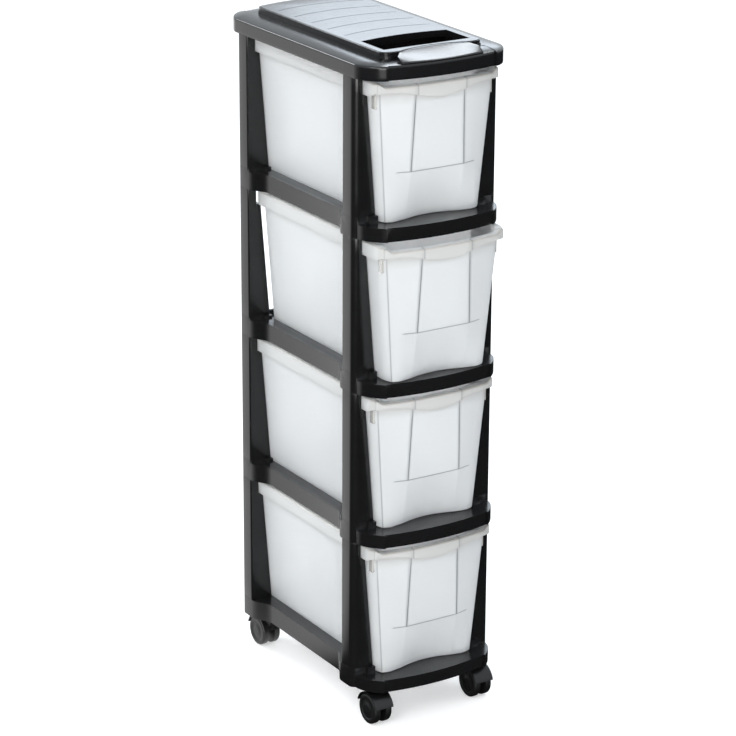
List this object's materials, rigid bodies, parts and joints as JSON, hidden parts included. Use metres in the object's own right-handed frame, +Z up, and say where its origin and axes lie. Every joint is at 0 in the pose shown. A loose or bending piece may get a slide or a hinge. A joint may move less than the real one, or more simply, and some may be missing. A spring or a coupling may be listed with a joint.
{
  "type": "drawer tower",
  "caption": "Slim rolling drawer tower: ring frames on corner posts, frosted pull-out drawers, a black lid with a hand opening, and twin-wheel casters.",
  "frame": {"origin": "on the floor, in the middle of the overall footprint at rest", "axes": "+Z up, the drawers open towards -Y, +X to the right when one faces the drawers"},
  "size_m": [0.1892, 0.3396, 0.7886],
  "materials": {
    "frame_black": "moulded gloss black with a soft sheen",
    "lid_black": "moulded gloss black, very finely grained",
    "frosted_drawer": "milky translucent, slightly frosted",
    "caster_black": "moulded black",
    "axle_steel": "drawn steel pin"
  },
  "bodies": {
    "tower": {"base_frame": "frame_black", "lower_shelf": "frame_black", "middle_shelf": "frame_black", "upper_shelf": "frame_black", "top_frame": "lid_black", "top_panel": "lid_black", "hand_well": "lid_black", "grip_bar": "lid_black", "bottom_post_front_left": "frame_black", "bottom_post_front_right": "frame_black", "bottom_post_rear_left": "frame_black", "bottom_post_rear_right": "frame_black", "lower_post_front_left": "frame_black", "lower_post_front_right": "frame_black", "lower_post_rear_left": "frame_black", "lower_post_rear_right": "frame_black", "upper_post_front_left": "frame_black", "upper_post_front_right": "frame_black", "upper_post_rear_left": "frame_black", "upper_post_rear_right": "frame_black", "top_post_front_left": "frame_black", "top_post_front_right": "frame_black", "top_post_rear_left": "frame_black", "top_post_rear_right": "frame_black"},
    "bottom_drawer": {"bottom_drawer": "frosted_drawer"},
    "lower_drawer": {"lower_drawer": "frosted_drawer"},
    "upper_drawer": {"upper_drawer": "frosted_drawer"},
    "top_drawer": {"top_drawer": "frosted_drawer"},
    "front_left_caster": {"front_left_caster_hood": "caster_black", "front_left_caster_axle": "axle_steel"},
    "front_left_caster_wheel_left": {"front_left_caster_wheel_left": "caster_black"},
    "front_left_caster_wheel_right": {"front_left_caster_wheel_right": "caster_black"},
    "front_right_caster": {"front_right_caster_hood": "caster_black", "front_right_caster_axle": "axle_steel"},
    "front_right_caster_wheel_left": {"front_right_caster_wheel_left": "caster_black"},
    "front_right_caster_wheel_right": {"front_right_caster_wheel_right": "caster_black"},
    "rear_left_caster": {"rear_left_caster_hood": "caster_black", "rear_left_caster_axle": "axle_steel"},
    "rear_left_caster_wheel_left": {"rear_left_caster_wheel_left": "caster_black"},
    "rear_left_caster_wheel_right": {"rear_left_caster_wheel_right": "caster_black"},
    "rear_right_caster": {"rear_right_caster_hood": "caster_black", "rear_right_caster_axle": "axle_steel"},
    "rear_right_caster_wheel_left": {"rear_right_caster_wheel_left": "caster_black"},
    "rear_right_caster_wheel_right": {"rear_right_caster_wheel_right": "caster_black"}
  },
  "joints": [
    {"name": "bottom_drawer_slide", "type": "slide", "parent": "tower", "child": "bottom_drawer", "axis": [0, -1, 0], "range_m": [0, 0.2]},
    {"name": "lower_drawer_slide", "type": "slide", "parent": "tower", "child": "lower_drawer", "axis": [0, -1, 0], "range_m": [0, 0.2]},
    {"name": "upper_drawer_slide", "type": "slide", "parent": "tower", "child": "upper_drawer", "axis": [0, -1, 0], "range_m": [-0.016, 0.184]},
    {"name": "top_drawer_slide", "type": "slide", "parent": "tower", "child": "top_drawer", "axis": [0, -1, 0], "range_m": [0, 0.2]},
    {"name": "front_left_caster_swivel", "type": "hinge", "parent": "tower", "child": "front_left_caster", "pos_m": [-0.069, -0.12265, 0.04], "axis": [0, 0, 1], "continuous": true},
    {"name": "front_left_caster_left_roll", "type": "hinge", "parent": "front_left_caster", "child": "front_left_caster_wheel_left", "pos_m": [-0.069, -0.13365, 0.018], "axis": [1, 0, 0], "continuous": true},
    {"name": "front_left_caster_right_roll", "type": "hinge", "parent": "front_left_caster", "child": "front_left_caster_wheel_right", "pos_m": [-0.069, -0.13365, 0.018], "axis": [1, 0, 0], "continuous": true},
    {"name": "front_right_caster_swivel", "type": "hinge", "parent": "tower", "child": "front_right_caster", "pos_m": [0.069, -0.12265, 0.04], "axis": [0, 0, 1], "continuous": true},
    {"name": "front_right_caster_left_roll", "type": "hinge", "parent": "front_right_caster", "child": "front_right_caster_wheel_left", "pos_m": [0.069, -0.13365, 0.018], "axis": [1, 0, 0], "continuous": true},
    {"name": "front_right_caster_right_roll", "type": "hinge", "parent": "front_right_caster", "child": "front_right_caster_wheel_right", "pos_m": [0.069, -0.13365, 0.018], "axis": [1, 0, 0], "continuous": true},
    {"name": "rear_left_caster_swivel", "type": "hinge", "parent": "tower", "child": "rear_left_caster", "pos_m": [-0.069, 0.11035, 0.04], "axis": [0, 0, 1], "continuous": true},
    {"name": "rear_left_caster_left_roll", "type": "hinge", "parent": "rear_left_caster", "child": "rear_left_caster_wheel_left", "pos_m": [-0.069, 0.12135, 0.018], "axis": [1, 0, 0], "continuous": true},
    {"name": "rear_left_caster_right_roll", "type": "hinge", "parent": "rear_left_caster", "child": "rear_left_caster_wheel_right", "pos_m": [-0.069, 0.12135, 0.018], "axis": [1, 0, 0], "continuous": true},
    {"name": "rear_right_caster_swivel", "type": "hinge", "parent": "tower", "child": "rear_right_caster", "pos_m": [0.069, 0.11035, 0.04], "axis": [0, 0, 1], "continuous": true},
    {"name": "rear_right_caster_left_roll", "type": "hinge", "parent": "rear_right_caster", "child": "rear_right_caster_wheel_left", "pos_m": [0.069, 0.12135, 0.018], "axis": [1, 0, 0], "continuous": true},
    {"name": "rear_right_caster_right_roll", "type": "hinge", "parent": "rear_right_caster", "child": "rear_right_caster_wheel_right", "pos_m": [0.069, 0.12135, 0.018], "axis": [1, 0, 0], "continuous": true}
  ]
}
